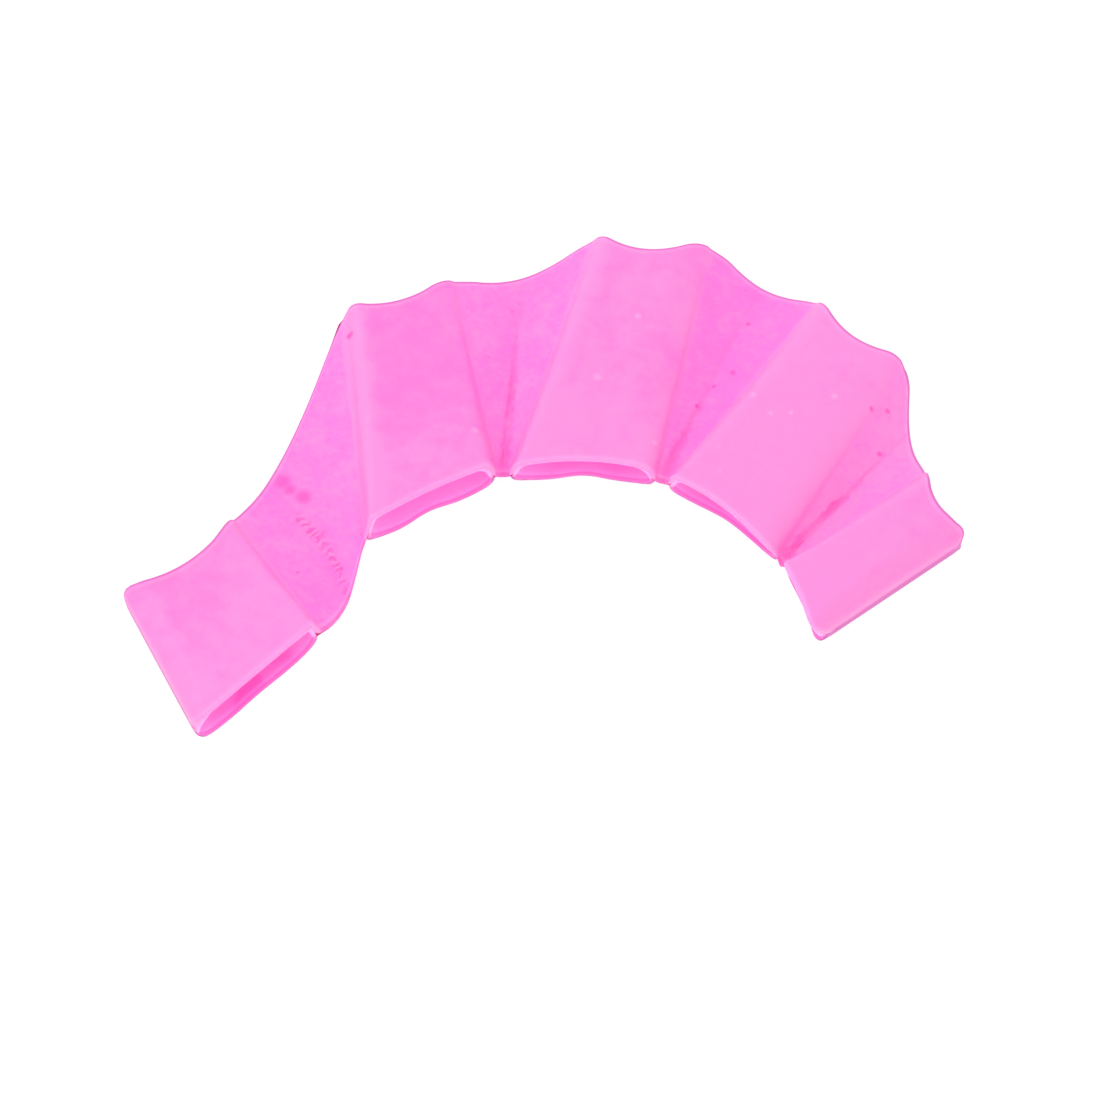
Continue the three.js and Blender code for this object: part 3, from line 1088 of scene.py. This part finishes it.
@dataclass(frozen=True)
class Silicone:
    """Soft pink silicone, a little see-through, with painted shade in its folds, pits and
    hollows, painted highlights on its rims, nubs and left shoulders, and a painted glow in its
    hollows.

    The pairs of numbers by_web are for a sleeve and for a web. The runs are millimetres from
    a mouth or a root, and the widths are millimetres from a fold. The breaks are where the
    noise starts and ends to let a mark show, and how much of it shows there. flaw_middle is
    the full part of a flaw, as a share of its radius.
    """

    plain: Colour = (1.0, 0.17, 0.57)
    pale: Colour = (1.0, 0.25, 0.615)
    # the stains' own colour, and painted shade in creases, gathers and pits
    stain_and_shade: Colour = (1.0, 0.1, 0.52)
    # painted shade deep in the hollows
    shade: Colour = (1.0, 0.05, 0.38)
    # the thin line of painted shade round the outline
    edge: Colour = (0.48, 0.09, 0.38)
    # painted light that lifts the shade in the groove where a web meets a sleeve
    groove: Colour = (1.0, 0.23, 0.7)
    web: Colour = (1.0, 0.17, 0.62)
    inside: Colour = (1.0, 0.31, 0.56)
    # painted highlight on the rims, the gathers and the nubs
    light: Colour = (1.0, 0.4, 0.72)
    # colour of the painted glow in the hollows and along the outline
    glow: Colour = (1.0, 0.14, 0.53)
    roughness: float = 0.42
    specular: float = 0.4
    scatter: float = 0.6
    scatter_depth: float = 3.0
    scatter_colours: Colour = (1.0, 0.3, 0.6)
    # painted light: how much the hollows and the outline's line glow
    hollow_glow: float = 0.45
    line_glow: float = 0.12
    mottle: Noise = Noise(70.0, 3.0, 0.9)
    fine: Noise = Noise(260.0, 3.0, 1.0)
    grain: Noise = Noise(700.0, 2.0)
    grain_by_web: tuple[float, float] = (0.25, 0.9)
    mouth_run: tuple[float, float] = (2.0, 26.0)
    mouth_tone: float = 0.35
    crease_ragged: Noise = Noise(380.0, 3.0, 3.4)
    crease_width: tuple[float, float] = (0.1, 1.1)
    crease_gaps: Noise = Noise(110.0, 1.0)
    crease_breaks: tuple[float, ...] = (0.35, 0.6, 0.25, 1.0)
    crease_run: tuple[float, ...] = (16.0, 44.0, 1.0, 0.25)
    crease_amount: float = 0.7
    gather_stray: Noise = Noise(260.0, 2.0)
    gather_sway: float = 5.0
    gather_slant: float = 0.55
    gather_jitter: float = 4.0
    gather_turns: float = 3.3
    gather_width: tuple[float, float] = (0.5, 1.8)
    gather_run: tuple[float, float] = (22.0, 26.0)
    gather_gaps: Noise = Noise(320.0, 1.0)
    patches: Noise = Noise(90.0, 1.0)
    breaks: tuple[float, ...] = (0.4, 0.55, 0.55, 1.0)
    flaw_middle: float = 0.2
    stain_amount: float = 0.95
    glint_amount: float = 0.5
    gather_glint: float = -0.6
    groove_amount: float = 0.35
    band_amount: float = 0.4
    line_amount: float = 0.9
    skin: Noise = Noise(900.0, 3.0)
    skin_by_web: tuple[float, float] = (0.15, 0.4)
    bump_strength: float = 0.6
    bump_depth: float = 0.3

    def build(self) -> bpy.types.Material:
        """Builds the material's nodes."""
        material = bpy.data.materials.new("pink silicone")
        material.use_nodes = True
        nodes = Nodes(material.node_tree)
        flaws = {kind: self.marks(nodes, kind) for kind in Mark}
        signs = Signs(flaws, self.crinkle(nodes), self.crease_line(nodes))
        # Painted light: a glow in the hollows and along the outline's line
        in_line = nodes.times(nodes.attribute("line"), self.line_glow)
        in_hollow = nodes.change("hollow", 0.0, self.hollow_glow)
        shader = material.node_tree.nodes["Principled BSDF"]
        shader.inputs["Subsurface Radius"].default_value = self.scatter_colours
        values = {
            "Base Color": self.tinted(nodes, signs),
            "Roughness": self.roughness,
            "Specular IOR Level": self.specular,
            "Subsurface Scale": self.scatter_depth * MM,
            "Subsurface Weight": nodes.change("line", self.scatter, 0.0),
            "Emission Color": self.glow,
            "Emission Strength": nodes.maths("MAXIMUM", in_hollow, in_line),
            "Normal": self.relief(nodes, signs),
        }
        for key, value in values.items():
            nodes.feed(value, shader.inputs[key])
        return material

    def crease_line(self, nodes: Nodes) -> Socket:
        """The sharp, ragged line of painted shade at the bottom of a web's fold, from 0 to 1."""
        across = nodes.maths("ADD", nodes.attribute("fold"), nodes.uneven(self.crease_ragged))
        line = nodes.ramp(nodes.maths("ABSOLUTE", across), *self.crease_width, 1.0, 0.0)
        broken = nodes.ramp(nodes.noise(self.crease_gaps), *self.crease_breaks)
        fading = nodes.ramp(nodes.attribute("along"), *self.crease_run)
        return nodes.times(line, broken, fading, nodes.attribute("crease"))

    def crinkle(self, nodes: Nodes) -> Socket:
        """The row of small gathers along a wide fold, from -1 to 1, and 0 away from it.
        In colour, above 0 is painted shade and below 0 a painted highlight.
        """
        along = nodes.attribute("along")
        stray = nodes.uneven(self.gather_stray)
        sway = nodes.times(stray, self.gather_sway)
        across = nodes.maths("ADD", nodes.attribute("fold"), sway)
        slant = nodes.times(across, self.gather_slant)
        slant = nodes.maths("ADD", along, slant, nodes.times(stray, self.gather_jitter))
        wave = nodes.maths("SINE", nodes.times(slant, self.gather_turns))
        near = nodes.ramp(nodes.maths("ABSOLUTE", across), *self.gather_width, 1.0, 0.0)
        here = nodes.ramp(along, *self.gather_run, 1.0, 0.0)
        broken = nodes.ramp(nodes.noise(self.gather_gaps), *self.breaks)
        row = nodes.times(near, here, broken, nodes.attribute("gather"))
        return nodes.times(wave, row)

    def tinted(self, nodes: Nodes, signs: Signs) -> Socket:
        """The colour: paler and deeper rubber, stains, painted shade and highlights, and a thin
        line of painted shade at the outline.

        Args:
            nodes: The node tree.
            signs: What marks the rubber.

        Returns:
            The colour.
        """
        grain = nodes.times(nodes.uneven(self.grain), nodes.change("web", *self.grain_by_web))
        mouth = nodes.ramp(nodes.attribute("along"), *self.mouth_run, self.mouth_tone, 0.0)
        mouth = nodes.times(mouth, nodes.change("web", 1.0, 0.0))
        mottle = nodes.maths("ADD", nodes.uneven(self.mottle), nodes.uneven(self.fine))
        tone = nodes.maths("ADD", nodes.attribute("tone"), mottle, mouth, grain)
        tone = nodes.ramp(tone, 0.0, 1.0)
        sleeve = nodes.tint(self.plain, self.pale, tone)
        web = nodes.tint(self.web, self.pale, tone)
        # The webs' own colour, also laid on the sleeves' shoulder slopes as the colour of their
        # painted shade
        thin = nodes.maths("MAXIMUM", nodes.attribute("web"), nodes.attribute("shoulder"))
        marks = nodes.maths(
            "MAXIMUM",
            nodes.times(signs.crease, self.crease_amount),
            signs.gathers,
            signs.flaws[Mark.PIT],
            nodes.times(signs.flaws[Mark.STAIN], self.stain_amount),
        )
        # Painted highlights on the gathers and the nubs
        glints = nodes.times(signs.gathers, self.gather_glint)
        glints = nodes.maths("MAXIMUM", glints, signs.flaws[Mark.NUB], 0.0)
        # Patches of painted shade in the hollows
        dark = nodes.ramp(nodes.noise(self.patches), *self.breaks)
        layers = (
            # painted shade in creases, gathers and pits, and the stains' own colour
            (self.stain_and_shade, marks),
            (self.light, nodes.times(glints, self.glint_amount)),
            (self.inside, nodes.attribute("hollow")),
            # painted shade in the hollows, away from the ends of a mouth
            (self.shade, nodes.times(nodes.attribute("depth"), dark)),
            # painted light in the grooves, against their shade
            (self.groove, nodes.times(nodes.attribute("seam"), self.groove_amount)),
            # painted highlight along the rounded rims and the mouths' upper lips
            (self.light, nodes.times(nodes.attribute("band"), self.band_amount)),
            # painted shade along the outline, where a rounded edge turns under
            (self.edge, nodes.times(nodes.attribute("line"), self.line_amount)),
        )
        colour = nodes.tint(sleeve, web, thin)
        for over, amount in layers:
            colour = nodes.tint(colour, over, amount)
        return colour

    def marks(self, nodes: Nodes, kind: Mark) -> Socket:
        """The flaws of one kind: those of the table, and smaller ones at random.

        Args:
            nodes: The node tree.
            kind: The kind of flaw.

        Returns:
            1 in the middle of a flaw, falling to 0 at its edge.
        """
        spread = nodes.spots(SCATTER[kind])
        if kind is Mark.PIT:
            spread = nodes.times(spread, nodes.attribute("web"))
        flat = nodes.vector("MULTIPLY", nodes.place, (1.0, 1.0, 0.0), "Vector")
        for x, y, radius in (row[1:] for row in MARKS if row[0] is kind):
            far = nodes.vector("DISTANCE", flat, (x * MM, y * MM, 0.0), "Value")
            spot = nodes.ramp(far, self.flaw_middle * radius * MM, radius * MM, 1.0, 0.0)
            spread = nodes.maths("MAXIMUM", spread, spot)
        return nodes.times(spread, nodes.change("hollow", 1.0, 0.0))

    def relief(self, nodes: Nodes, signs: Signs) -> Socket:
        """The skin: fine grain, stronger on the webs, with pits, gathers and low bumps.

        Args:
            nodes: The node tree.
            signs: What marks the rubber.

        Returns:
            The bumped normal.
        """
        grain = nodes.change("web", *self.skin_by_web)
        height = nodes.times(nodes.noise(self.skin), grain)
        height = nodes.maths("SUBTRACT", height, signs.flaws[Mark.PIT])
        height = nodes.maths("ADD", height, signs.flaws[Mark.NUB])
        height = nodes.maths("SUBTRACT", height, signs.gathers, signs.crease)
        bump = nodes.tree.nodes.new("ShaderNodeBump")
        bump.inputs["Strength"].default_value = self.bump_strength
        bump.inputs["Distance"].default_value = self.bump_depth * MM
        nodes.feed(height, bump.inputs["Height"])
        return bump.outputs["Normal"]


@dataclass(frozen=True)
class Studio:
    """The pale table, the soft light from the upper left, and the camera above the table.

    The lengths of the lens, the sensor and the target are millimetres, and those of the table
    and the lamp are metres. half_frame is half the photo's width in its pixels.
    """

    elevation: float = 58.0
    lens: float = 100.0
    sensor: float = 36.0
    half_frame: float = 550.0
    pixels_per_mm: float = 4.781
    target: tuple[float, float, float] = (0.783, -16.48, 0.0)
    table_side: float = 4.0
    table_colour: Colour = (0.12, 0.12, 0.12)
    table_glow: float = 0.93
    table_roughness: float = 0.9
    sky: float = 1.15
    key_watts: float = 1.2
    key_size: float = 0.5
    key_place: tuple[float, float, float] = (-0.5, 0.35, 0.55)

    def build(self) -> None:
        """Sets up the table, the light and the camera."""
        self.add_table()
        self.add_light()
        self.add_camera()

    def add_table(self) -> None:
        """Adds a wide plain table top, lit mostly from within, so that it shows no shadow."""
        side = self.table_side
        corners = [(-side, -side, 0), (side, -side, 0), (side, side, 0), (-side, side, 0)]
        data = bpy.data.meshes.new("table")
        data.from_pydata(corners, [], [(0, 1, 2, 3)])
        table = bpy.data.objects.new("table", data)
        bpy.context.scene.collection.objects.link(table)
        material = bpy.data.materials.new("white table")
        material.use_nodes = True
        shader = material.node_tree.nodes["Principled BSDF"]
        shader.inputs["Base Color"].default_value = (*self.table_colour, 1.0)
        shader.inputs["Roughness"].default_value = self.table_roughness
        shader.inputs["Specular IOR Level"].default_value = 0.0
        shader.inputs["Emission Color"].default_value = (1.0, 1.0, 1.0, 1.0)
        shader.inputs["Emission Strength"].default_value = self.table_glow
        data.materials.append(material)

    def add_light(self) -> None:
        """Adds an even white sky and one large soft lamp behind the glove on the left."""
        world = bpy.data.worlds.new("studio")
        world.use_nodes = True
        background = world.node_tree.nodes["Background"]
        background.inputs["Color"].default_value = (1.0, 1.0, 1.0, 1.0)
        background.inputs["Strength"].default_value = self.sky
        bpy.context.scene.world = world
        lamp = bpy.data.lights.new("key", "AREA")
        lamp.shape = "DISK"
        lamp.size = self.key_size
        lamp.energy = self.key_watts
        key = bpy.data.objects.new("key", lamp)
        key.location = Vector(self.key_place)
        key.rotation_euler = (-key.location).to_track_quat("-Z", "Y").to_euler()
        bpy.context.scene.collection.objects.link(key)

    def add_camera(self) -> None:
        """Adds the camera in front of the glove, looking down at it at the photo's angle."""
        half = self.sensor / 2 / self.lens
        distance = self.half_frame / self.pixels_per_mm / half
        angle = math.radians(self.elevation)
        back = Vector((0.0, -math.cos(angle), math.sin(angle)))
        data = bpy.data.cameras.new("camera")
        data.lens = self.lens
        data.sensor_width = self.sensor
        camera = bpy.data.objects.new("camera", data)
        camera.location = (Vector(self.target) + back * distance) * MM
        camera.rotation_euler = (-back).to_track_quat("-Z", "Y").to_euler()
        bpy.context.scene.collection.objects.link(camera)
        bpy.context.scene.camera = camera


def main() -> None:
    """Builds the glove and its studio, and notes how many faces the glove has."""
    logging.basicConfig(level=logging.INFO, format="%(message)s")
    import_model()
    bpy.context.scene.view_settings.view_transform = "Standard"
    glove = Glove(Mould()).build("silicone_glove")
    glove.data.materials.append(Silicone().build())
    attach(glove, "root")
    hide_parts("webbed_glove")
    LOG.info("silicone glove: %d faces", len(glove.data.polygons))
    Studio().build()
    LOG.info("studio: table, light and camera")


if __name__ == "__main__":
    main()
